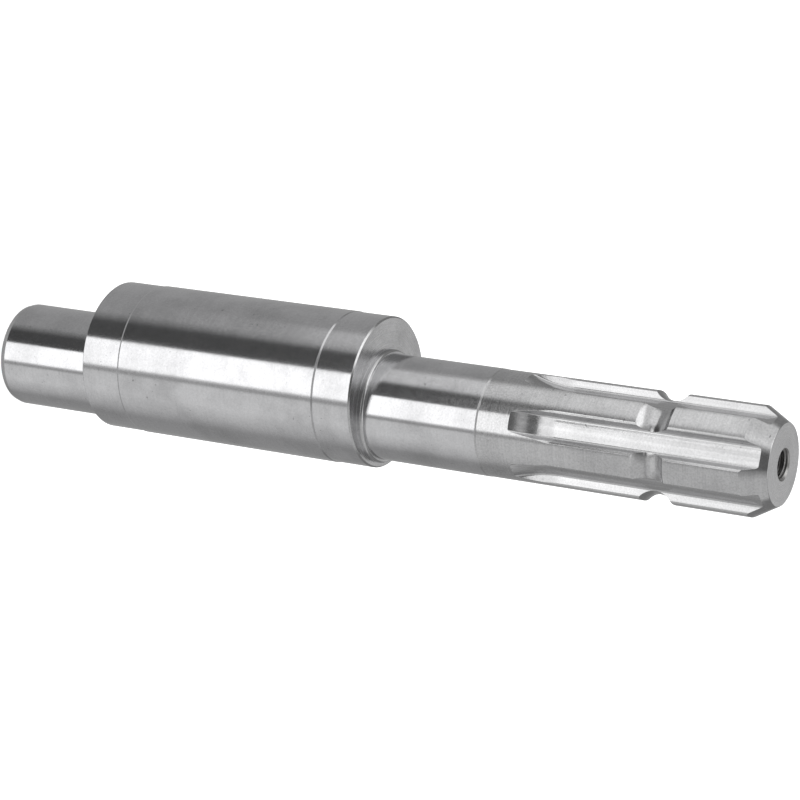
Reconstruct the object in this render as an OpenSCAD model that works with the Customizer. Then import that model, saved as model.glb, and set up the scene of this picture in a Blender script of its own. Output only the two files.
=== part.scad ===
// Pump shaft, one turned and milled steel piece, in millimetres.
// It stands on its short journal. +Z runs along the main axis towards the splined end, and the thick
// journal is set off that axis towards +X by the throw.

/* [Short journal] */
// Diameter of the short journal
stub_d = 35; // [30:0.5:38]
// Length of the short journal, from its end face to the thick journal
stub_len = 39; // [20:0.5:70]
// Length of the lead-in chamfer on the short journal
stub_lead_len = 1.8; // [0.5:0.1:4]
// Depth of the lead-in chamfer, in the radius
stub_lead_depth = 0.55; // [0.2:0.05:1.5]

/* [Eccentric journal] */
// Diameter of the middle of the thick journal
journal_d = 50.4; // [48:0.2:60]
// Diameter of the ground bands at its two ends
band_d = 50; // [47:0.2:60]
// Length of the thick journal between its two faces
journal_len = 104; // [60:1:160]
// Length of the ground band beside the short journal
stub_band_len = 14.4; // [5:0.2:25]
// Length of the ground band beside the drive shaft
drive_band_len = 13.6; // [5:0.2:25]
// Distance from the main axis to the thick journal's own axis
throw = 4.5; // [0:0.1:5]
// Length of the slope from each band up to the middle of the thick journal
band_slope_len = 0.6; // [0.2:0.1:2]
// Chamfer round both edges of the thick journal
journal_chamfer = 0.5; // [0.2:0.1:1.5]

/* [Drive shaft] */
// Diameter of the ground seat beside the thick journal
seat_d = 35; // [34.9:0.1:38]
// Length of the ground seat, from the thick journal's face
seat_len = 42.6; // [20:0.2:60]
// Length of the lead-in slope where that seat ends towards the splines
seat_lead_len = 0.6; // [0.2:0.1:2]
// Length of the drive shaft, from the thick journal's face to the end face
drive_len = 139; // [130:1:200]
// Radius of the fillets where the two thinner shafts meet the thick journal
fillet_r = 2.4; // [0.8:0.1:2.4]

/* [Splines] */
// Number of teeth
tooth_count = 6; // [5:1:8]
// Width of a tooth between its parallel flanks
tooth_w = 8.64; // [6:0.1:10]
// Diameter over the tooth crests
crest_d = 34.8; // [33:0.1:34.8]
// Diameter at the gap floors
root_d = 28.8; // [27.5:0.1:30]
// Full-depth length of the splines, measured from the end face
spline_len = 70.3; // [60:0.5:75]
// Radius of the form cutter that leaves the run-out
cutter_r = 40; // [25:1:45]
// Width of the chamfer along each edge of a tooth crest
tip_chamfer = 0.7; // [0.3:0.05:1]
// Angle from the throw to the nearest tooth
tooth_turn = -3.5; // [-30:0.5:30]

/* [Locking groove] */
// Distance from the end face to the middle of the groove
groove_from_end = 38; // [30:0.5:45]
// Radius of the groove's round section
groove_r = 6.8; // [5:0.1:8]
// Diameter at the bottom of the groove
groove_d = 29.4; // [28:0.1:31]

/* [Drive end] */
// Diameter of the flat end face
end_face_d = 26; // [22:0.5:27]
// Slope of the end cone against the main axis
end_slope = 30; // [20:1:45]
// Diameter of the drilled hole for the end thread
tap_hole_d = 8.5; // [5:0.1:10.2]
// Depth of that hole, without its drill point
tap_hole_depth = 28; // [15:1:50]
// Diameter of the 90 degree countersink at its mouth
tap_mouth_d = 10.4; // [10.3:0.1:14]

/* [Centre hole] */
// Diameter of the pilot of the centre hole in the short journal's end
centre_pilot_d = 4; // [2:0.5:6]
// Diameter of its cone at the end face
centre_mouth_d = 8.5; // [7:0.5:12]
// Depth of the pilot below the cone
centre_pilot_len = 4; // [2:0.5:8]

/* [Hidden] */
$fn = 144;
spill = 1;
drill_point = 118;
centre_cone = 60;
steel = [0.66, 0.66, 0.67];
journal_z = stub_len;
shoulder_z = journal_z + journal_len;
end_z = shoulder_z + drive_len;
seat_end_z = shoulder_z + seat_len;
stub_r = stub_d / 2;
seat_r = seat_d / 2;
crest_r = crest_d / 2;
root_r = root_d / 2;
end_face_r = end_face_d / 2;
cone_len = (crest_r - end_face_r) / tan(end_slope);
spline_z = end_z - spline_len;
gap_turn = 180 / tooth_count;
run_out_turn = 45;
// The least distance from the main axis to the edge of the thick journal's faces, on the side away
// from the throw, and the rim that a fillet leaves there
face_reach = band_d / 2 - journal_chamfer - throw;
face_rim = 0.1;

// Fills the corner between a shaft of radius r and a flat face, on the face's +Z side. A fillet is
// no wider than the face it stands on.
module corner_fillet(r) {
    corner_r = min(fillet_r, face_reach - face_rim - r);
    rotate_extrude()
        translate([r, 0])
            difference() {
                translate([-spill, -spill])
                    square(corner_r + spill);
                translate([corner_r, corner_r])
                    circle(r = corner_r);
            }
}

// The short journal, from its end face into the thick journal
module short_journal() {
    rotate_extrude()
        polygon([
            [0, 0],
            [stub_r - stub_lead_depth, 0],
            [stub_r, stub_lead_len],
            [stub_r, journal_z + spill],
            [0, journal_z + spill]
        ]);
    translate([0, 0, journal_z])
        mirror([0, 0, 1])
            corner_fillet(stub_r);
}

// The thick journal, turned and ground on its own axis
module eccentric_journal() {
    band_r = band_d / 2;
    journal_r = journal_d / 2;
    translate([throw, 0, journal_z])
        rotate_extrude()
            polygon([
                [0, 0],
                [band_r - journal_chamfer, 0],
                [band_r, journal_chamfer],
                [band_r, stub_band_len],
                [journal_r, stub_band_len + band_slope_len],
                [journal_r, journal_len - drive_band_len - band_slope_len],
                [band_r, journal_len - drive_band_len],
                [band_r, journal_len - journal_chamfer],
                [band_r - journal_chamfer, journal_len],
                [0, journal_len]
            ]);
}

// The drive shaft with its ground seat, the turned length for the splines and the end cone
module drive_blank() {
    rotate_extrude()
        polygon([
            [0, shoulder_z - spill],
            [seat_r, shoulder_z - spill],
            [seat_r, seat_end_z - seat_lead_len],
            [crest_r, seat_end_z],
            [crest_r, end_z - cone_len],
            [end_face_r, end_z],
            [0, end_z]
        ]);
    translate([0, 0, shoulder_z])
        corner_fillet(seat_r);
}

// Section of the gap between two teeth, with its middle along +X and the shaft's axis at the origin:
// a flat floor, two flanks parallel to the middles of the teeth, and the flare that chamfers the tips
module gap_section() {
    flank_dir = [cos(gap_turn), sin(gap_turn)];
    flank_out = [-sin(gap_turn), cos(gap_turn)];
    // A point on the flank at distance d along the middle of the tooth beside the gap
    function flank(d) = flank_dir * d - flank_out * tooth_w / 2;
    floor_d = (root_r + flank_out[0] * tooth_w / 2) / flank_dir[0];
    tip_d = sqrt(crest_r * crest_r - tooth_w * tooth_w / 4) - tip_chamfer;
    // The flare leaves the flank at 45 degrees and runs past the crest
    flare = tip_chamfer + spill;
    tip = flank(tip_d);
    mouth = tip + (flank_dir + flank_out) * flare;
    floor_end = flank(floor_d);
    outside = crest_r + spill;
    polygon([
        [floor_end[0], -floor_end[1]],
        floor_end,
        tip,
        mouth,
        [outside, mouth[1]],
        [outside, -mouth[1]],
        [mouth[0], -mouth[1]],
        [tip[0], -tip[1]]
    ]);
}

// The path of the form cutter through one gap: straight off the end, and the cutter's own round
// where it lifts out
module gap_cut() {
    translate([0, 0, spline_z])
        linear_extrude(height = spline_len + spill)
            gap_section();
    translate([root_r + cutter_r, 0, spline_z])
        rotate([90, 180, 0])
            rotate_extrude(angle = run_out_turn)
                translate([root_r + cutter_r, 0])
                    mirror([1, 0])
                        gap_section();
}

// The round groove that a locking pin or ball drops into
module locking_groove() {
    translate([0, 0, end_z - groove_from_end])
        rotate_extrude()
            translate([groove_d / 2 + groove_r, 0])
                circle(r = groove_r);
}

// The hole for the end thread, with its drill point and countersink
module tap_hole() {
    hole_r = tap_hole_d / 2;
    mouth_r = tap_mouth_d / 2;
    bottom_z = end_z - tap_hole_depth;
    rotate_extrude()
        polygon([
            [0, bottom_z - hole_r / tan(drill_point / 2)],
            [hole_r, bottom_z],
            [hole_r, end_z - (mouth_r - hole_r)],
            [mouth_r + spill, end_z + spill],
            [0, end_z + spill]
        ]);
}

// The centre hole in the short journal's end, which carried the shaft while it was turned and ground
module centre_hole() {
    slope = tan(centre_cone / 2);
    cone_depth = (centre_mouth_d - centre_pilot_d) / 2 / slope;
    rotate_extrude()
        polygon([
            [0, -spill],
            [centre_mouth_d / 2 + spill * slope, -spill],
            [centre_pilot_d / 2, cone_depth],
            [centre_pilot_d / 2, cone_depth + centre_pilot_len],
            [0, cone_depth + centre_pilot_len + centre_pilot_d / 2 / tan(drill_point / 2)]
        ]);
}

module pump_shaft() {
    color(steel)
        difference() {
            union() {
                short_journal();
                eccentric_journal();
                drive_blank();
            }
            for (i = [0 : tooth_count - 1])
                rotate([0, 0, tooth_turn + gap_turn + i * 2 * gap_turn])
                    gap_cut();
            locking_groove();
            tap_hole();
            centre_hole();
        }
}

pump_shaft();
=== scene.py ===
"""Pump shaft: the turned, ground and milled steel of the real shaft, its end thread and its studio."""
import math

import bmesh
import bpy
from bpy.props import FloatProperty, FloatVectorProperty, IntProperty, PointerProperty
from mathutils import Matrix, Vector


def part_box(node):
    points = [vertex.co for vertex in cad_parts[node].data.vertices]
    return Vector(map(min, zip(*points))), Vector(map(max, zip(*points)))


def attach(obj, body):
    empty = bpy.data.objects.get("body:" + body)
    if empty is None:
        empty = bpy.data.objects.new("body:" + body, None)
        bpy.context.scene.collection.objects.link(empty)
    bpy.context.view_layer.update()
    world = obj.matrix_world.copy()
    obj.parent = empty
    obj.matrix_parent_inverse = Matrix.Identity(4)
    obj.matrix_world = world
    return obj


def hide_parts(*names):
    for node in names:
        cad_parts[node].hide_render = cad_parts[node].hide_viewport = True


bl_info = {
    "name": "Pump Shaft",
    "version": (1, 0, 0),
    "blender": (4, 5, 0),
    "location": "View3D > Sidebar > Pump Shaft",
    "description": "Models and dresses an eccentric pump shaft with a splined drive end",
    "category": "Add Mesh",
}

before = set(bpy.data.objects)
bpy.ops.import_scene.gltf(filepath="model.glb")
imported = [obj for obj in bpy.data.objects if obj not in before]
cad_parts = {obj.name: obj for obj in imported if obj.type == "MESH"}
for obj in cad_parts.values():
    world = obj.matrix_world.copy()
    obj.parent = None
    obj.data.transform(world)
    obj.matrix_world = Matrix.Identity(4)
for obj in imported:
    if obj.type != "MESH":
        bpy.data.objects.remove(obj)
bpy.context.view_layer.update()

NODE = "pump_shaft"
BODY = "root"

# The steel finishes, in the order of the shaft's material slots
STEELS = (
    "ground_seat_steel", "turned_steel", "hole_steel", "ground_journal_steel", "faced_steel",
    "milled_steel",
)
SEAT, TURNED, HOLE, JOURNAL, FACED, MILLED = range(len(STEELS))

LOW_CORNER, HIGH_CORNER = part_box(NODE)
SHAFT_LEN = HIGH_CORNER.z - LOW_CORNER.z

# How finely the round surfaces are cut, and how far a cutter runs past what it cuts
TURN_STEPS = 288
FILLET_STEPS = 16
GROOVE_STEPS = 28
RUN_OUT_STEPS = 36
FLOOR_STEPS = 6
ROOT_STEPS = 12
RIM_STEPS = 8
RUN_OUT_TURN = math.radians(45)
THREAD_STEPS_PER_TURN = 48
SPILL = 0.001
DRILL_POINT = math.radians(118)
CENTRE_CONE = math.radians(60)
SMOOTH_UNDER = math.radians(8)
FACE_RIM = 0.0001
WELD = 1e-7

# The end thread's profile: its half flank angle, and its flat and its overlap as shares of the pitch
THREAD_FLANK = math.radians(30)
THREAD_FLAT_SHARE = 1 / 16
THREAD_OVERLAP_SHARE = 0.1

# How steeply a face must rise for its finish: faced across the axis, chamfered, or sloped
FACED_RISE = 0.95
CHAMFER_RISE = 0.5
SLOPE_RISE = 0.02

# The steel's marks: how slowly a ring changes as it goes round, how broad the shades are beside the
# fine streaks, how large and rare the pits are, where each noise begins and ends, how dark its marks
# turn the steel, and how pale and strong the painted highlight along its broken edges is
RING_DRIFT = 0.012
BROAD_STREAK = 0.2
PIT_SCALE = 0.55
PIT_LEVELS = (0.72, 0.80)
PIT_DIRT_LEVELS = (0.44, 0.62)
SHADE_LEVELS = (0.32, 0.68)
SMUDGE_LEVELS = (0.42, 0.70)
DULL_LEVELS = (0.45, 0.75)
NOISE_LEVELS = (0.3, 0.7)
SMUDGE_SHADE = 0.55
PIT_SHADE = 0.45
# Painted highlight along the broken edges: its pale colour and how far it is mixed in
EDGE_HIGHLIGHT_COLOUR = (0.86, 0.86, 0.86)
EDGE_HIGHLIGHT_SHARE = 0.45
EDGE_SAMPLES = 6
EDGE_GAIN = 6.0
DULLED = 0.04
SMOOTH_LINE = 0.82
ROUGH_LINE = 1.2
GRAIN_HEIGHT = 4
MARK_HEIGHT = 0.00002

# The camera's Euler angles in degrees, at the photograph's viewing angle
CAMERA_TURN = (-15.315, -60.980, -72.438)
SENSOR_WIDTH = 36.0
LAMP_PLACE = (-0.5, -0.4, 1.6)
LAMP_AIM = (0, 0, 0.1)
LAMP_SIZE = 1.4
FLOOR_ROUGHNESS = 0.9
FLOOR_GLOW = 0.72


def length(name, description, default, low=0.0, high=1.0):
    """A length property in metres."""
    return FloatProperty(
        name=name, description=description, default=default, min=low, max=high,
        unit="LENGTH", precision=5,
    )


class ShaftSizes(bpy.types.PropertyGroup):
    """The sizes of the shaft, as they were measured"""

    stub_d: length("Short journal diameter", "Diameter of the short journal", 0.035)
    stub_len: length("Short journal length", "From its end face to the thick journal", 0.039)
    stub_lead_len: length("Short journal lead", "Length of its lead-in chamfer", 0.0018)
    stub_lead_depth: length("Short journal lead depth", "Depth of that chamfer in the radius", 0.00055)
    journal_d: length("Thick journal diameter", "Diameter of the thick journal's middle", 0.0504)
    band_d: length("Band diameter", "Diameter of the ground bands at its two ends", 0.05)
    journal_len: length("Thick journal length", "Between its two faces", 0.104)
    stub_band_len: length("Far band length", "Band beside the short journal", 0.0144)
    drive_band_len: length("Near band length", "Band beside the drive shaft", 0.0136)
    band_slope_len: length("Band slope", "Slope from a band up to the middle", 0.0006)
    journal_chamfer: length("Thick journal chamfer", "Chamfer of its two edges", 0.0005)
    throw: length("Throw", "From the main axis to the thick journal's own axis", 0.0045)
    seat_d: length("Seat diameter", "Diameter of the ground seat", 0.035)
    seat_len: length("Seat length", "From the thick journal's face", 0.0426)
    seat_lead_len: length("Seat lead", "Slope where the seat ends towards the splines", 0.0006)
    fillet_r: length("Fillet radius", "Fillet at the thick journal's far face", 0.0024)
    collar_d: length("Collar diameter", "Low collar at the foot of the drive seat", 0.0375)
    collar_len: length("Collar length", "From the thick journal's face", 0.0021)
    collar_round: length("Collar round", "Round along the collar's edge", 0.0010)
    crest_d: length("Crest diameter", "Diameter over the tooth crests", 0.0348)
    root_d: length("Root diameter", "Diameter at the gap floors", 0.0288)
    tooth_w: length("Tooth width", "Width of a tooth between its flanks", 0.00864)
    tip_chamfer: length("Tooth tip chamfer", "Chamfer along each tooth crest", 0.0004)
    floor_round: length("Floor round", "Radius across the gap's slightly round floor", 0.020)
    root_fillet: length("Root fillet", "Fillet between a flank and the gap's floor", 0.0009)
    spline_len: length("Spline length", "Full-depth length from the end face", 0.0703)
    cutter_r: length("Cutter radius", "Radius of the form cutter's run-out", 0.04)
    groove_from_end: length("Groove place", "From the end face to the groove's middle", 0.038)
    groove_r: length("Groove radius", "Radius of the groove's round section", 0.0068)
    groove_d: length("Groove bottom diameter", "Diameter at the bottom of the groove", 0.0294)
    end_face_d: length("End face diameter", "Flat end face within the cone", 0.026)
    end_round: length("End face round", "Round between the end face and the cone", 0.0004)
    tap_hole_d: length("Tap hole diameter", "Drilled hole of the end thread", 0.0085)
    tap_hole_depth: length("Tap hole depth", "Without its drill point", 0.028)
    tap_mouth_d: length("Countersink diameter", "90 degree countersink at its mouth", 0.0104)
    thread_d: length("Thread diameter", "Major diameter of the end thread", 0.010)
    thread_pitch: length("Thread pitch", "Rise of the end thread in one turn", 0.0015)
    thread_len: length("Thread length", "Length of the cut thread", 0.022)
    centre_pilot_d: length("Centre pilot diameter", "Pilot of the centre hole", 0.004)
    centre_mouth_d: length("Centre mouth diameter", "Mouth of the centre hole", 0.0085)
    centre_pilot_len: length("Centre pilot depth", "Depth below the cone", 0.004)
    end_slope: FloatProperty(
        name="End cone slope", description="Slope of the end cone against the main axis",
        default=math.radians(30), subtype="ANGLE",
    )
    tooth_turn: FloatProperty(
        name="Tooth turn", description="Angle from the throw to the nearest tooth",
        default=math.radians(-3.5), subtype="ANGLE",
    )
    tooth_count: IntProperty(name="Teeth", description="Number of teeth", default=6, min=3, max=20)


class SteelFinish(bpy.types.PropertyGroup):
    """The colours and marks of the steel surfaces"""

    ground_colour: FloatVectorProperty(
        name="Ground steel", description="Colour of the ground journals and the seat",
        default=(0.66, 0.66, 0.67), subtype="COLOR", size=3, min=0, max=1,
    )
    turned_colour: FloatVectorProperty(
        name="Turned steel", description="Colour of the turned faces and crests",
        default=(0.60, 0.60, 0.605), subtype="COLOR", size=3, min=0, max=1,
    )
    faced_colour: FloatVectorProperty(
        name="Faced steel", description="Colour of the faces that stand across the axis",
        default=(0.60, 0.60, 0.605), subtype="COLOR", size=3, min=0, max=1,
    )
    milled_colour: FloatVectorProperty(
        name="Milled steel", description="Colour of the flanks and floors of the gaps",
        default=(0.62, 0.62, 0.625), subtype="COLOR", size=3, min=0, max=1,
    )
    hole_colour: FloatVectorProperty(
        name="Hole steel", description="Colour inside the drilled holes",
        default=(0.46, 0.455, 0.45), subtype="COLOR", size=3, min=0, max=1,
    )
    edge_break: length("Edge break", "Radius to which the sharp edges are broken", 0.00012)


class StudioSetup(bpy.types.PropertyGroup):
    """The camera, the floor and the light"""

    camera_place: FloatVectorProperty(
        name="Camera place", description="Where the camera stands",
        default=(0.0, 0.79982, 0.57169), subtype="TRANSLATION", size=3, precision=5,
    )
    camera_turn: FloatVectorProperty(
        name="Camera turn", description="Euler angles of the camera",
        default=[math.radians(turn) for turn in CAMERA_TURN], subtype="EULER", size=3, precision=5,
    )
    camera_shift: FloatProperty(
        name="Camera shift", description="Upward shift of the frame, as a share of its width",
        default=0.5 / 800, min=-0.1, max=0.1, precision=5,
    )
    camera_lens: FloatProperty(
        name="Lens", description="Focal length in millimetres on a 36 mm sensor",
        default=124.70, min=1, max=500,
    )
    floor_colour: FloatVectorProperty(
        name="Floor", description="Colour of the pale floor",
        default=(0.9, 0.9, 0.9), subtype="COLOR", size=3, min=0, max=1,
    )
    floor_size: length("Floor size", "Half the width of the floor", 4.0, high=20.0)
    lamp_power: FloatProperty(
        name="Lamp power", description="Power of the overhead lamp in watts",
        default=9.0, min=0, max=200, unit="POWER",
    )


def sizes():
    return bpy.context.scene.pump_shaft_sizes


def finish():
    return bpy.context.scene.pump_shaft_finish


def studio():
    return bpy.context.scene.pump_shaft_studio


def arc(centre, radius, start, end, steps):
    """Points of an arc in the (r, z) plane, both ends included."""
    points = []
    for i in range(steps + 1):
        turn = start + (end - start) * i / steps
        points.append((centre[0] + radius * math.cos(turn), centre[1] + radius * math.sin(turn)))
    return points


def spin_outline(mesh, outline, axis_x=0.0):
    """Turns an outline of (r, z) points into a closed solid round the axis at x = axis_x."""
    corners = [mesh.verts.new((axis_x + r, 0.0, z)) for r, z in outline]
    edges = [mesh.edges.new(pair) for pair in zip(corners, corners[1:])]
    bmesh.ops.spin(
        mesh, geom=corners + edges, cent=(axis_x, 0, 0), axis=(0, 0, 1),
        angle=math.tau, steps=TURN_STEPS, use_merge=True,
    )
    bmesh.ops.remove_doubles(mesh, verts=mesh.verts, dist=WELD)
    bmesh.ops.recalc_face_normals(mesh, faces=mesh.faces)


def mesh_object(name, mesh, materials):
    """Makes an object of a bmesh, with its material slots."""
    data = bpy.data.meshes.new(name)
    mesh.to_mesh(data)
    mesh.free()
    for material in materials:
        data.materials.append(material)
    piece = bpy.data.objects.new(name, data)
    bpy.context.scene.collection.objects.link(piece)
    return piece


def fillet_radius(s):
    """A fillet is no wider than the face it stands on."""
    face_reach = s.band_d / 2 - s.journal_chamfer - s.throw
    return min(s.fillet_r, face_reach - FACE_RIM - s.stub_d / 2)


def stub_outline(s):
    """From the centre hole out over the short journal to the thick journal's face."""
    stub_r = s.stub_d / 2
    pilot_r = s.centre_pilot_d / 2
    mouth_r = s.centre_mouth_d / 2
    cone_depth = (mouth_r - pilot_r) / math.tan(CENTRE_CONE / 2)
    pilot_end = cone_depth + s.centre_pilot_len
    r = fillet_radius(s)
    outline = [
        (0.0, pilot_end + pilot_r / math.tan(DRILL_POINT / 2)),
        (pilot_r, pilot_end),
        (pilot_r, cone_depth),
        (mouth_r, 0.0),
        (stub_r - s.stub_lead_depth, 0.0),
        (stub_r, s.stub_lead_len),
    ]
    outline += arc((stub_r + r, s.stub_len - r), r, math.pi, math.pi / 2, FILLET_STEPS)
    outline.append((stub_r + r, s.stub_len + SPILL))
    return outline


def drive_outline(s):
    """From inside the thick journal over the drive shaft and its end into the tap hole."""
    shoulder_z = s.stub_len + s.journal_len
    seat_r = s.seat_d / 2
    crest_r = s.crest_d / 2
    face_r = s.end_face_d / 2
    hole_r = s.tap_hole_d / 2
    mouth_r = s.tap_mouth_d / 2
    seat_end = shoulder_z + s.seat_len
    cone_len = (crest_r - face_r) / math.tan(s.end_slope)
    hole_end = SHAFT_LEN - s.tap_hole_depth
    collar_r = s.collar_d / 2
    collar_end = shoulder_z + s.collar_len
    r = s.collar_round
    outline = [(collar_r, shoulder_z - SPILL)]
    outline += arc((collar_r - r, collar_end - r), r, 0, math.pi / 2, FILLET_STEPS)
    outline += [(seat_r, collar_end), (seat_r, seat_end - s.seat_lead_len), (crest_r, seat_end)]
    outline += groove_outline(s, crest_r)
    outline.append((crest_r, SHAFT_LEN - cone_len))
    rim_r = face_r - s.end_round * math.tan((math.pi / 2 - s.end_slope) / 2)
    outline += arc((rim_r, SHAFT_LEN - s.end_round), s.end_round, s.end_slope, math.pi / 2, RIM_STEPS)
    outline += [
        (mouth_r, SHAFT_LEN),
        (hole_r, SHAFT_LEN - (mouth_r - hole_r)),
        (hole_r, hole_end),
        (0.0, hole_end - hole_r / math.tan(DRILL_POINT / 2)),
    ]
    return outline


def groove_outline(s, crest_r):
    """The locking groove's arc, from the crest down to its bottom and up again."""
    centre_r = s.groove_d / 2 + s.groove_r
    middle = SHAFT_LEN - s.groove_from_end
    half = math.acos((centre_r - crest_r) / s.groove_r)
    return arc((centre_r, middle), s.groove_r, math.pi + half, math.pi - half, GROOVE_STEPS)


def journal_outline(s):
    """The thick journal round its own axis."""
    band_r = s.band_d / 2
    journal_r = s.journal_d / 2
    start = s.stub_len
    end = start + s.journal_len
    return [
        (0.0, start),
        (band_r - s.journal_chamfer, start),
        (band_r, start + s.journal_chamfer),
        (band_r, start + s.stub_band_len),
        (journal_r, start + s.stub_band_len + s.band_slope_len),
        (journal_r, end - s.drive_band_len - s.band_slope_len),
        (band_r, end - s.drive_band_len),
        (band_r, end - s.journal_chamfer),
        (band_r - s.journal_chamfer, end),
        (0.0, end),
    ]


def gap_section(s):
    """Half of the section of the gap between two teeth: its round floor from the middle out, the root
    fillet, the flank and the flare that chamfers the tooth's tip."""
    turn = math.pi / s.tooth_count
    along = Vector((math.cos(turn), math.sin(turn)))
    across = Vector((-math.sin(turn), math.cos(turn)))
    root_r = s.root_d / 2
    crest_r = s.crest_d / 2
    half_w = s.tooth_w / 2
    r = s.root_fillet
    floor_r = s.floor_round
    floor_middle = Vector((root_r - floor_r, 0.0))
    # The fillet's centre lies one radius off the flank, and its own radius outside the floor's round
    aside = -across * (half_w + r) - floor_middle
    reach = along.dot(aside)
    past = math.sqrt(reach ** 2 - aside.length_squared + (floor_r + r) ** 2)
    middle = floor_middle + aside + along * (past - reach)
    floor_turn = math.atan2(middle.y, middle.x - floor_middle.x)
    first = floor_turn / (2 * FLOOR_STEPS + 1)
    floor = arc(floor_middle, floor_r, first, floor_turn, FLOOR_STEPS)
    fillet = arc(middle, r, floor_turn + math.pi, turn + math.pi / 2, ROOT_STEPS)
    tip = along * (math.sqrt(crest_r ** 2 - half_w ** 2) - s.tip_chamfer) - across * half_w
    mouth = tip + (along + across) * (s.tip_chamfer + SPILL)
    points = [Vector(point) for point in floor + fillet[1:]]
    return points + [tip, mouth, Vector((crest_r + SPILL, mouth.y))]


def add_gap_cutter(mesh, s, turn):
    """The path of the form cutter through one gap: straight off the end, then lifting out."""
    half = gap_section(s)
    section = half + [Vector((p.x, -p.y)) for p in reversed(half)]
    top = SHAFT_LEN + SPILL
    bottom = SHAFT_LEN - s.spline_len
    place = Matrix.Rotation(turn, 3, "Z")
    face = mesh.faces.new([mesh.verts.new(place @ Vector((p.x, p.y, top))) for p in section])
    straight = bmesh.ops.extrude_face_region(mesh, geom=[face], use_keep_orig=True)["geom"]
    moved = [item for item in straight if isinstance(item, bmesh.types.BMVert)]
    bmesh.ops.translate(mesh, verts=moved, vec=(0, 0, bottom - top))
    end_face = [item for item in straight if isinstance(item, bmesh.types.BMFace)]
    bmesh.ops.spin(
        mesh, geom=end_face, cent=place @ Vector((s.root_d / 2 + s.cutter_r, 0, bottom)),
        axis=place @ Vector((0, 1, 0)), angle=-RUN_OUT_TURN, steps=RUN_OUT_STEPS, use_duplicate=False,
    )
    # The face where the straight part meets the lifting part lies inside the cutter
    bmesh.ops.delete(mesh, geom=end_face, context="FACES_ONLY")


def add_thread_cutter(mesh, s):
    """The end thread's V groove, wound into the tap hole from just outside its mouth."""
    hole_r = s.tap_hole_d / 2
    major_r = s.thread_d / 2
    inner_r = hole_r - THREAD_OVERLAP_SHARE * s.thread_pitch
    crest_half = THREAD_FLAT_SHARE * s.thread_pitch
    base_half = crest_half + (major_r - inner_r) * math.tan(THREAD_FLANK)
    start_z = SHAFT_LEN + SPILL
    corners = [(inner_r, -base_half), (major_r, -crest_half), (major_r, crest_half), (inner_r, base_half)]
    verts = [mesh.verts.new((r, 0, start_z + z)) for r, z in corners]
    face = mesh.faces.new(verts)
    turns = (s.thread_len + SPILL) / s.thread_pitch
    steps = int(turns * THREAD_STEPS_PER_TURN)
    rise = s.thread_pitch / THREAD_STEPS_PER_TURN
    bmesh.ops.spin(
        mesh, geom=[face], cent=(0, 0, 0), axis=(0, 0, 1), dvec=(0, 0, -rise),
        angle=-math.tau * steps / THREAD_STEPS_PER_TURN, steps=steps, use_duplicate=False,
    )


def cut(piece, tool, operation):
    """Joins or cuts the piece with a tool, whose finish the new faces take."""
    modifier = piece.modifiers.new(tool.name, "BOOLEAN")
    modifier.operation = operation
    modifier.object = tool
    modifier.solver = "EXACT"
    modifier.material_mode = "TRANSFER"


def apply_modifiers(piece):
    """Replaces the piece's mesh by what its modifiers make of it."""
    bpy.context.view_layer.update()
    shaped = piece.evaluated_get(bpy.context.evaluated_depsgraph_get())
    data = bpy.data.meshes.new_from_object(shaped)
    piece.modifiers.clear()
    old = piece.data
    piece.data = data
    bpy.data.meshes.remove(old)


def new_group(name, inputs, outputs):
    """A shader node group with named sockets, and its input and output nodes."""
    tree = bpy.data.node_groups.new(name, "ShaderNodeTree")
    for socket, kind, default in inputs:
        made = tree.interface.new_socket(socket, in_out="INPUT", socket_type=kind)
        if default is not None:
            made.default_value = default
    for socket, kind in outputs:
        tree.interface.new_socket(socket, in_out="OUTPUT", socket_type=kind)
    start = tree.nodes.new("NodeGroupInput")
    end = tree.nodes.new("NodeGroupOutput")
    return tree, start, end


def math_node(tree, operation, first, second=None, clamp=False):
    """A Math node whose inputs are sockets or numbers, and its result."""
    node = tree.nodes.new("ShaderNodeMath")
    node.operation = operation
    node.use_clamp = clamp
    for i, value in enumerate((first, second)):
        if value is None:
            continue
        if isinstance(value, (int, float)):
            node.inputs[i].default_value = value
        else:
            tree.links.new(value, node.inputs[i])
    return node.outputs[0]


def noise_node(tree, vector, scale, detail, roughness=0.5):
    """A noise texture on the given coordinates, and its height."""
    node = tree.nodes.new("ShaderNodeTexNoise")
    node.inputs["Scale"].default_value = scale
    node.inputs["Detail"].default_value = detail
    node.inputs["Roughness"].default_value = roughness
    tree.links.new(vector, node.inputs["Vector"])
    return node.outputs["Fac"]


def scale_node(tree, vector, scale):
    """A vector scaled by a socket."""
    node = tree.nodes.new("ShaderNodeVectorMath")
    node.operation = "SCALE"
    tree.links.new(vector, node.inputs[0])
    tree.links.new(scale, node.inputs["Scale"])
    return node.outputs[0]


def combine_node(tree, x, y, z):
    """A vector of three sockets or numbers."""
    node = tree.nodes.new("ShaderNodeCombineXYZ")
    for i, value in enumerate((x, y, z)):
        if isinstance(value, (int, float)):
            node.inputs[i].default_value = value
        else:
            tree.links.new(value, node.inputs[i])
    return node.outputs[0]


def separate_node(tree, vector):
    node = tree.nodes.new("ShaderNodeSeparateXYZ")
    tree.links.new(vector, node.inputs[0])
    return node.outputs


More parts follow.
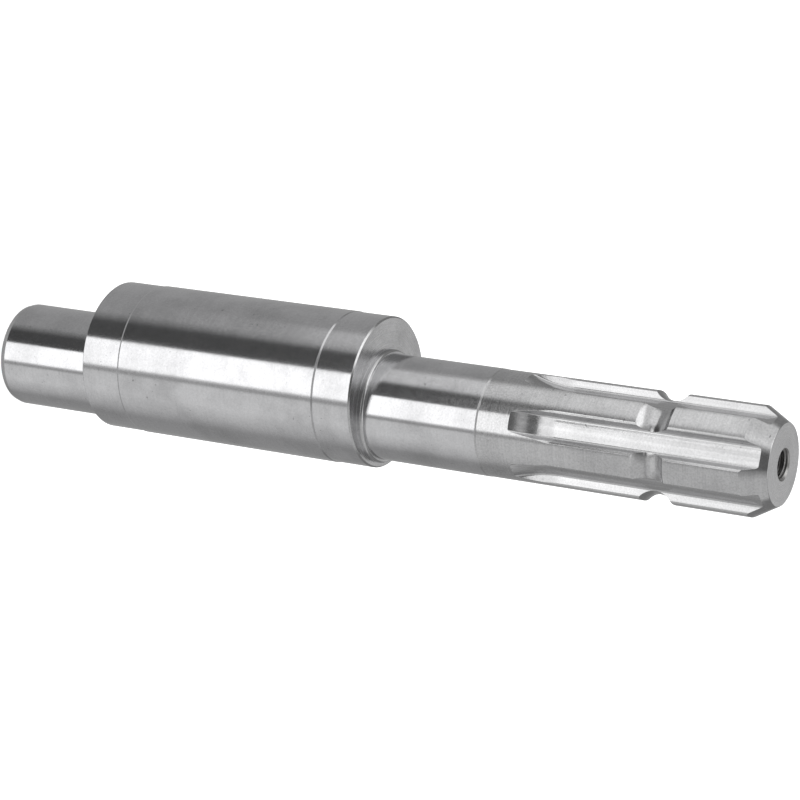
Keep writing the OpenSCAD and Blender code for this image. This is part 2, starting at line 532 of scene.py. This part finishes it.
def turning_marks_group():
    """Rings round the axis: fine lines of the tool and coarse shades."""
    tree, start, end = new_group(
        "turning_marks",
        [("Vector", "NodeSocketVector", None), ("Fine", "NodeSocketFloat", 9000.0),
         ("Coarse", "NodeSocketFloat", 700.0)],
        [("Lines", "NodeSocketFloat"), ("Shade", "NodeSocketFloat")],
    )
    x, y, z = separate_node(tree, start.outputs["Vector"])
    square_x = math_node(tree, "MULTIPLY", x, x)
    square_y = math_node(tree, "MULTIPLY", y, y)
    radius = math_node(tree, "SQRT", math_node(tree, "ADD", square_x, square_y))
    # Seen along a ring the marks change slowly, so that each line fades in and out as it goes round
    slow_x = math_node(tree, "MULTIPLY", x, RING_DRIFT)
    slow_y = math_node(tree, "MULTIPLY", y, RING_DRIFT)
    across = math_node(tree, "ADD", z, radius)
    rings = combine_node(tree, across, slow_x, slow_y)
    for scale_name, output, detail in (("Fine", "Lines", 2.0), ("Coarse", "Shade", 3.0)):
        scaled = scale_node(tree, rings, start.outputs[scale_name])
        tree.links.new(noise_node(tree, scaled, 1.0, detail, 0.6), end.inputs[output])
    return tree


def milling_streaks_group():
    """Streaks along the shaft, left by the form cutter."""
    tree, start, end = new_group(
        "milling_streaks",
        [("Vector", "NodeSocketVector", None), ("Fine", "NodeSocketFloat", 6000.0),
         ("Stretch", "NodeSocketFloat", 0.02)],
        [("Lines", "NodeSocketFloat"), ("Shade", "NodeSocketFloat")],
    )
    x, y, z = separate_node(tree, start.outputs["Vector"])
    along = math_node(tree, "MULTIPLY", z, start.outputs["Stretch"])
    streaks = combine_node(tree, x, y, along)
    fine = scale_node(tree, streaks, start.outputs["Fine"])
    tree.links.new(noise_node(tree, fine, 1.0, 2.0, 0.6), end.inputs["Lines"])
    tree.links.new(noise_node(tree, fine, BROAD_STREAK, 3.0, 0.5), end.inputs["Shade"])
    return tree


def handling_group():
    """Smudges of oil and handling, the fine grain of bare steel, and a few small pits."""
    tree, start, end = new_group(
        "handling",
        [("Vector", "NodeSocketVector", None), ("Smudge", "NodeSocketFloat", 70.0),
         ("Grain", "NodeSocketFloat", 1500.0)],
        [("Smudges", "NodeSocketFloat"), ("Grains", "NodeSocketFloat"), ("Pits", "NodeSocketFloat")],
    )
    broad = scale_node(tree, start.outputs["Vector"], start.outputs["Smudge"])
    fine = scale_node(tree, start.outputs["Vector"], start.outputs["Grain"])
    smudges = noise_node(tree, broad, 1.0, 6.0, 0.62)
    tree.links.new(smudges, end.inputs["Smudges"])
    tree.links.new(noise_node(tree, fine, 1.0, 3.0, 0.6), end.inputs["Grains"])
    # Pits lie where the grain's extremes fall together with a smudge
    spots = map_range(tree, noise_node(tree, fine, PIT_SCALE, 1.0, 0.5), *PIT_LEVELS, 0.0, 1.0)
    dirty = map_range(tree, smudges, *PIT_DIRT_LEVELS, 0.0, 1.0)
    tree.links.new(math_node(tree, "MULTIPLY", spots, dirty), end.inputs["Pits"])
    return tree


def edge_break_group():
    """The normal of edges that are broken to a small radius, and a mask of where they run, along which the
    steel gets a painted highlight.
    """
    tree, start, end = new_group(
        "edge_break", [], [("Normal", "NodeSocketVector"), ("Edge", "NodeSocketFloat")],
    )
    bevel = tree.nodes.new("ShaderNodeBevel")
    bevel.samples = EDGE_SAMPLES
    bevel.inputs["Radius"].default_value = finish().edge_break
    geometry = tree.nodes.new("ShaderNodeNewGeometry")
    dot = tree.nodes.new("ShaderNodeVectorMath")
    dot.operation = "DOT_PRODUCT"
    tree.links.new(bevel.outputs[0], dot.inputs[0])
    tree.links.new(geometry.outputs["Normal"], dot.inputs[1])
    tilt = math_node(tree, "SUBTRACT", 1.0, dot.outputs["Value"])
    edge = math_node(tree, "MULTIPLY", tilt, EDGE_GAIN, clamp=True)
    tree.links.new(bevel.outputs[0], end.inputs["Normal"])
    tree.links.new(edge, end.inputs["Edge"])
    return tree


def group_node(tree, group, values=()):
    """Places a node group in a material with its own values."""
    node = tree.nodes.new("ShaderNodeGroup")
    node.node_tree = group
    for socket, value in dict(values).items():
        node.inputs[socket].default_value = value
    return node


def map_range(tree, value, low, high, to_low, to_high):
    """Maps a value from one range to another, held at both ends."""
    node = tree.nodes.new("ShaderNodeMapRange")
    for socket, number in (("From Min", low), ("From Max", high), ("To Min", to_low), ("To Max", to_high)):
        node.inputs[socket].default_value = number
    tree.links.new(value, node.inputs["Value"])
    return node.outputs["Result"]


def mix_colour(tree, factor, first, second):
    """Mixes two colours, each a socket or a plain colour."""
    node = tree.nodes.new("ShaderNodeMix")
    node.data_type = "RGBA"
    tree.links.new(factor, node.inputs[0])
    for socket, value in ((node.inputs[6], first), (node.inputs[7], second)):
        if isinstance(value, bpy.types.NodeSocket):
            tree.links.new(value, socket)
        else:
            socket.default_value = (*value, 1.0)
    return node.outputs[2]


def shade_of(colour, factor):
    return tuple(min(1.0, part * factor) for part in colour)


def steel_material(
        name, colour, marks, mark_values, roughness, spread, bump, smudge, grain, centre=(0, 0, 0)):
    """Bare steel: a tool's marks in its colour, roughness and height, handling, and broken edges with a
    painted highlight along them.
    """
    material = bpy.data.materials.new(name)
    material.use_nodes = True
    tree = material.node_tree
    shader = tree.nodes["Principled BSDF"]
    shader.inputs["Metallic"].default_value = 1.0
    coordinates = tree.nodes.new("ShaderNodeTexCoord")
    mapping = tree.nodes.new("ShaderNodeMapping")
    mapping.inputs["Location"].default_value = tuple(-part for part in centre)
    tree.links.new(coordinates.outputs["Object"], mapping.inputs["Vector"])
    place = mapping.outputs["Vector"]
    mark = group_node(tree, marks, mark_values)
    handled = group_node(tree, GROUPS["handling"])
    edges = group_node(tree, GROUPS["edge_break"])
    tree.links.new(place, mark.inputs["Vector"])
    tree.links.new(place, handled.inputs["Vector"])
    shade = map_range(tree, mark.outputs["Shade"], *SHADE_LEVELS, 0.0, 1.0)
    marked = mix_colour(tree, shade, shade_of(colour, 1 - spread), shade_of(colour, 1 + spread))
    clouded = map_range(tree, handled.outputs["Smudges"], *SMUDGE_LEVELS, 0.0, smudge)
    smudged = mix_colour(tree, clouded, marked, shade_of(colour, SMUDGE_SHADE))
    speckle = map_range(tree, handled.outputs["Grains"], *NOISE_LEVELS, 1 - grain, 1 + grain)
    grained = scale_node(tree, smudged, speckle)
    pitted = mix_colour(tree, handled.outputs["Pits"], grained, shade_of(colour, PIT_SHADE))
    # Painted highlight: the broken edges are mixed towards a pale grey, standing in for the light they
    # catch
    painted_highlight = map_range(tree, edges.outputs["Edge"], 0, 1, 0, EDGE_HIGHLIGHT_SHARE)
    highlighted_colour = mix_colour(tree, painted_highlight, pitted, EDGE_HIGHLIGHT_COLOUR)
    tree.links.new(highlighted_colour, shader.inputs["Base Color"])
    smooth = roughness * SMOOTH_LINE
    rough = roughness * ROUGH_LINE
    lines = map_range(tree, mark.outputs["Lines"], *NOISE_LEVELS, smooth, rough)
    dull = map_range(tree, handled.outputs["Smudges"], *DULL_LEVELS, 0, DULLED)
    tree.links.new(math_node(tree, "ADD", lines, dull), shader.inputs["Roughness"])
    height = tree.nodes.new("ShaderNodeBump")
    height.inputs["Strength"].default_value = bump
    height.inputs["Distance"].default_value = MARK_HEIGHT
    rough_grain = math_node(tree, "MULTIPLY", handled.outputs["Grains"], grain * GRAIN_HEIGHT)
    tree.links.new(math_node(tree, "ADD", mark.outputs["Lines"], rough_grain), height.inputs["Height"])
    tree.links.new(edges.outputs["Normal"], height.inputs["Normal"])
    tree.links.new(height.outputs[0], shader.inputs["Normal"])
    return material


GROUPS = {}


class PUMPSHAFT_OT_finishes(bpy.types.Operator):
    """Makes the steel finishes and the node groups that they share"""

    bl_idname = "pump_shaft.finishes"
    bl_label = "Make Finishes"

    def execute(self, context):
        GROUPS["turning"] = turning_marks_group()
        GROUPS["milling"] = milling_streaks_group()
        GROUPS["handling"] = handling_group()
        GROUPS["edge_break"] = edge_break_group()
        f = finish()
        turning = GROUPS["turning"]
        steel_material(
            STEELS[SEAT], f.ground_colour, turning, {"Fine": 14000.0, "Coarse": 900.0},
            roughness=0.11, spread=0.02, bump=0.25, smudge=0.40, grain=0.06,
        )
        steel_material(
            STEELS[JOURNAL], f.ground_colour, turning, {"Fine": 14000.0, "Coarse": 900.0},
            roughness=0.12, spread=0.02, bump=0.25, smudge=0.44, grain=0.06, centre=(sizes().throw, 0, 0),
        )
        steel_material(
            STEELS[TURNED], f.turned_colour, turning, {"Fine": 6000.0, "Coarse": 1800.0},
            roughness=0.14, spread=0.05, bump=0.4, smudge=0.32, grain=0.11,
        )
        steel_material(
            STEELS[FACED], f.faced_colour, turning, {"Fine": 5000.0, "Coarse": 2600.0},
            roughness=0.27, spread=0.07, bump=0.5, smudge=0.36, grain=0.12,
        )
        steel_material(
            STEELS[MILLED], f.milled_colour, GROUPS["milling"], {"Fine": 3200.0, "Stretch": 0.015},
            roughness=0.13, spread=0.12, bump=0.7, smudge=0.24, grain=0.08,
        )
        steel_material(
            STEELS[HOLE], f.hole_colour, turning, {"Fine": 5000.0, "Coarse": 1500.0},
            roughness=0.34, spread=0.1, bump=0.5, smudge=0.4, grain=0.12,
        )
        return {"FINISHED"}


def paint_by_place(mesh, slots, centre_x=0.0):
    """Gives each face the finish of the stretch of the shaft that it lies in."""
    for face in mesh.faces:
        middle = face.calc_center_median()
        radius = math.hypot(middle.x - centre_x, middle.y)
        face.material_index = slots(middle.z, radius, abs(face.normal.z))


def make_core(s, steels):
    """The short journal and the drive shaft, turned round the main axis."""
    seat_end = s.stub_len + s.journal_len + s.seat_len - s.seat_lead_len
    hole_reach = max(s.tap_mouth_d, s.centre_mouth_d) / 2

    def slots(z, radius, rise):
        if radius < hole_reach:
            return HOLE
        if rise > FACED_RISE:
            return FACED
        if z > seat_end or z < s.stub_lead_len or rise > SLOPE_RISE:
            return TURNED
        return SEAT

    core = bmesh.new()
    spin_outline(core, stub_outline(s) + drive_outline(s))
    paint_by_place(core, slots)
    return mesh_object("shaft", core, steels)


def make_journal(s, steels):
    """The thick journal, turned round its own axis."""

    def slots(z, radius, rise):
        if rise > FACED_RISE:
            return FACED
        return TURNED if rise > CHAMFER_RISE else JOURNAL

    thick = bmesh.new()
    spin_outline(thick, journal_outline(s), s.throw)
    paint_by_place(thick, slots, s.throw)
    return mesh_object("thick_journal", thick, steels)


def make_gap_cutter(s, steels):
    """The form cutter's path through every gap between the teeth."""
    gaps = bmesh.new()
    for i in range(s.tooth_count):
        add_gap_cutter(gaps, s, s.tooth_turn + math.tau * (i + 0.5) / s.tooth_count)
    bmesh.ops.recalc_face_normals(gaps, faces=gaps.faces)
    return mesh_object("gap_cutter", gaps, [steels[MILLED]])


def make_thread_cutter(s, steels):
    """The end thread's groove."""
    thread = bmesh.new()
    add_thread_cutter(thread, s)
    bmesh.ops.recalc_face_normals(thread, faces=thread.faces)
    return mesh_object("thread_cutter", thread, [steels[HOLE]])


class PUMPSHAFT_OT_shaft(bpy.types.Operator):
    """Models the shaft: turned core, thick journal, milled gaps and end thread"""

    bl_idname = "pump_shaft.shaft"
    bl_label = "Make Shaft"

    def execute(self, context):
        s = sizes()
        steels = [bpy.data.materials[name] for name in STEELS]
        piece = make_core(s, steels)
        journal = make_journal(s, steels)
        gap_cutter = make_gap_cutter(s, steels)
        thread_cutter = make_thread_cutter(s, steels)
        cut(piece, journal, "UNION")
        cut(piece, gap_cutter, "DIFFERENCE")
        cut(piece, thread_cutter, "DIFFERENCE")
        apply_modifiers(piece)
        for tool in (journal, gap_cutter, thread_cutter):
            bpy.data.objects.remove(tool)
        piece.data.shade_smooth()
        piece.data.set_sharp_from_angle(angle=SMOOTH_UNDER)
        weighted = piece.modifiers.new("weighted_normals", "WEIGHTED_NORMAL")
        weighted.keep_sharp = True
        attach(piece, BODY)
        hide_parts(NODE)
        return {"FINISHED"}


# Cards of light round the shaft. A card has a middle and half a width round the horizon, from +Y
# towards +X, a lowest and a highest rise above the horizon, the width of its soft edges and its
# level. Angles are in degrees, and a card hides those before it.
STUDIO_CARDS = [
    {"middle": 75, "half": 38, "low": -90, "high": 90, "edge": (14, 8), "level": 0.36},
    {"middle": -125, "half": 30, "low": -90, "high": -8, "edge": (14, 12), "level": 0.33},
    {"middle": -50, "half": 36, "low": -90, "high": -8, "edge": (44, 12), "level": 0.76},
    {"middle": -50, "half": 32, "low": -25.5, "high": -8, "edge": (30, 5), "level": 0.62},
    {"middle": 75, "half": 34, "low": 2, "high": 70, "edge": (14, 10), "level": 0.85},
    {"middle": -75, "half": 34, "low": 2, "high": 70, "edge": (14, 10), "level": 0.60},
    {"middle": 0, "half": 27, "low": -9, "high": 70, "edge": (8, 4), "level": 0.15},
    {"middle": 32, "half": 25, "low": -90, "high": -23.2, "edge": (18, 2), "level": 0.085},
    {"middle": 55, "half": 28, "low": -23.2, "high": -9, "edge": (6, 2), "level": 0.60},
    {"middle": 70, "half": 17, "low": -28.7, "high": 10, "edge": (8, 3), "level": 0.84},
    {"middle": 70.5, "half": 22.5, "low": -25.5, "high": 10, "edge": (8, 3), "level": 1.00},
    {"middle": -28.5, "half": 3.0, "low": -90, "high": -18, "edge": (1, 1), "level": 0.38},
    {"middle": -1.9, "half": 20.8, "low": -90, "high": -8.5, "edge": (0.6, 0.6), "level": 1.60},
    {"middle": 8, "half": 30, "low": -23.0, "high": -8.5, "edge": (2, 1), "level": 1.20},
    {"middle": 75, "half": 32, "low": 36, "high": 66, "edge": (14, 8), "level": 1.55},
    {"middle": 0, "half": 24, "low": 3, "high": 12, "edge": (6, 3), "level": 0.55},
    {"middle": 136, "half": 24, "low": -16, "high": 40, "edge": (14, 6), "level": 0.26},
    {"middle": -136, "half": 24, "low": -16, "high": 40, "edge": (14, 6), "level": 0.24},
    {"middle": 0, "half": 181, "low": -91, "high": -55, "edge": (1, 8), "level": 0.48},
    {"middle": 180, "half": 22, "low": 8, "high": 60, "edge": (8, 8), "level": 0.60},
    {"middle": 180, "half": 142, "low": 66, "high": 91, "edge": (20, 8), "level": 0.90},
]
STUDIO_LEVEL = 0.38


def studio_light(tree, turn, rise):
    """The level of light from each direction: the cards, laid over each other in their order."""
    level = None
    for card in STUDIO_CARDS:
        away = math_node(tree, "SUBTRACT", turn, math.radians(card["middle"]))
        wrapped = math_node(tree, "WRAP", away, math.pi)
        wrapped.node.inputs[2].default_value = -math.pi
        aside = math_node(tree, "ABSOLUTE", wrapped)
        half = math.radians(card["half"])
        edge_turn, edge_rise = (math.radians(part) for part in card["edge"])
        across = map_range(tree, aside, half - edge_turn / 2, half + edge_turn / 2, 1.0, 0.0)
        low = math.radians(card["low"])
        high = math.radians(card["high"])
        above = map_range(tree, rise, low - edge_rise / 2, low + edge_rise / 2, 0.0, 1.0)
        below = map_range(tree, rise, high - edge_rise / 2, high + edge_rise / 2, 1.0, 0.0)
        cover = math_node(tree, "MULTIPLY", across, math_node(tree, "MULTIPLY", above, below))
        mix = tree.nodes.new("ShaderNodeMix")
        mix.data_type = "FLOAT"
        tree.links.new(cover, mix.inputs[0])
        if level is None:
            mix.inputs[2].default_value = STUDIO_LEVEL
        else:
            tree.links.new(level, mix.inputs[2])
        mix.inputs[3].default_value = card["level"]
        level = mix.outputs[0]
    return level


class PUMPSHAFT_OT_stage(bpy.types.Operator):
    """Makes the camera, the pale floor, the lamp and the studio round them"""

    bl_idname = "pump_shaft.stage"
    bl_label = "Make Stage"

    def execute(self, context):
        make_camera(context.scene)
        make_floor()
        make_lamp(context.scene)
        make_world(context.scene)
        context.scene.view_settings.view_transform = "Standard"
        return {"FINISHED"}


def make_camera(scene):
    w = studio()
    data = bpy.data.cameras.new("photo_camera")
    data.sensor_width = SENSOR_WIDTH
    data.lens = w.camera_lens
    data.shift_y = w.camera_shift
    camera = bpy.data.objects.new("photo_camera", data)
    camera.location = w.camera_place
    camera.rotation_euler = w.camera_turn
    scene.collection.objects.link(camera)
    scene.camera = camera


def make_floor():
    """A pale floor that stays white to the camera and keeps a faint shadow."""
    w = studio()
    mesh = bmesh.new()
    bmesh.ops.create_grid(mesh, x_segments=1, y_segments=1, size=w.floor_size)
    material = bpy.data.materials.new("pale_floor")
    material.use_nodes = True
    tree = material.node_tree
    shader = tree.nodes["Principled BSDF"]
    shader.inputs["Base Color"].default_value = (*w.floor_colour, 1.0)
    shader.inputs["Roughness"].default_value = FLOOR_ROUGHNESS
    shader.inputs["Specular IOR Level"].default_value = 0.0
    light = tree.nodes.new("ShaderNodeLightPath")
    shader.inputs["Emission Color"].default_value = (1, 1, 1, 1)
    seen = math_node(tree, "MULTIPLY", light.outputs["Is Camera Ray"], FLOOR_GLOW)
    tree.links.new(seen, shader.inputs["Emission Strength"])
    floor = mesh_object("floor", mesh, [material])
    floor.visible_glossy = False


def make_lamp(scene):
    """A large soft lamp overhead, which draws the floor's faint shadow."""
    w = studio()
    data = bpy.data.lights.new("overhead_lamp", "AREA")
    data.shape = "DISK"
    data.size = LAMP_SIZE
    data.energy = w.lamp_power
    lamp = bpy.data.objects.new("overhead_lamp", data)
    lamp.location = LAMP_PLACE
    aim = Vector(LAMP_AIM) - lamp.location
    lamp.rotation_euler = aim.to_track_quat("-Z", "Y").to_euler()
    lamp.visible_glossy = False
    scene.collection.objects.link(lamp)


def make_world(scene):
    """White to the camera, and a ring of soft cards to the steel."""
    world = bpy.data.worlds.new("studio")
    scene.world = world
    world.use_nodes = True
    tree = world.node_tree
    background = tree.nodes["Background"]
    coordinates = tree.nodes.new("ShaderNodeTexCoord")
    x, y, z = separate_node(tree, coordinates.outputs["Generated"])
    turn = math_node(tree, "ARCTAN2", x, y)
    rise = math_node(tree, "ARCSINE", z)
    cards = studio_light(tree, turn, rise)
    light = tree.nodes.new("ShaderNodeLightPath")
    choose = tree.nodes.new("ShaderNodeMix")
    choose.data_type = "FLOAT"
    tree.links.new(light.outputs["Is Camera Ray"], choose.inputs[0])
    tree.links.new(cards, choose.inputs[2])
    choose.inputs[3].default_value = 1.0
    tree.links.new(choose.outputs[0], background.inputs["Strength"])
    background.inputs["Color"].default_value = (1, 1, 1, 1)


class PUMPSHAFT_PT_panel(bpy.types.Panel):
    """The shaft's sizes, its finishes, and the steps that make it"""

    bl_idname = "PUMPSHAFT_PT_panel"
    bl_label = "Pump Shaft"
    bl_space_type = "VIEW_3D"
    bl_region_type = "UI"
    bl_category = "Pump Shaft"

    def draw(self, context):
        layout = self.layout
        for operator in (PUMPSHAFT_OT_finishes, PUMPSHAFT_OT_shaft, PUMPSHAFT_OT_stage):
            layout.operator(operator.bl_idname)
        for title, group in (("Sizes", sizes()), ("Finish", finish()), ("Studio", studio())):
            box = layout.box()
            box.label(text=title)
            for name in group.__annotations__:
                box.prop(group, name)


CLASSES = (
    ShaftSizes, SteelFinish, StudioSetup,
    PUMPSHAFT_OT_finishes, PUMPSHAFT_OT_shaft, PUMPSHAFT_OT_stage, PUMPSHAFT_PT_panel,
)


def register():
    for item in CLASSES:
        bpy.utils.register_class(item)
    bpy.types.Scene.pump_shaft_sizes = PointerProperty(type=ShaftSizes)
    bpy.types.Scene.pump_shaft_finish = PointerProperty(type=SteelFinish)
    bpy.types.Scene.pump_shaft_studio = PointerProperty(type=StudioSetup)


def unregister():
    del bpy.types.Scene.pump_shaft_studio
    del bpy.types.Scene.pump_shaft_finish
    del bpy.types.Scene.pump_shaft_sizes
    for item in reversed(CLASSES):
        bpy.utils.unregister_class(item)


def main():
    register()
    bpy.ops.pump_shaft.finishes()
    bpy.ops.pump_shaft.shaft()
    bpy.ops.pump_shaft.stage()


if __name__ == "__main__":
    main()
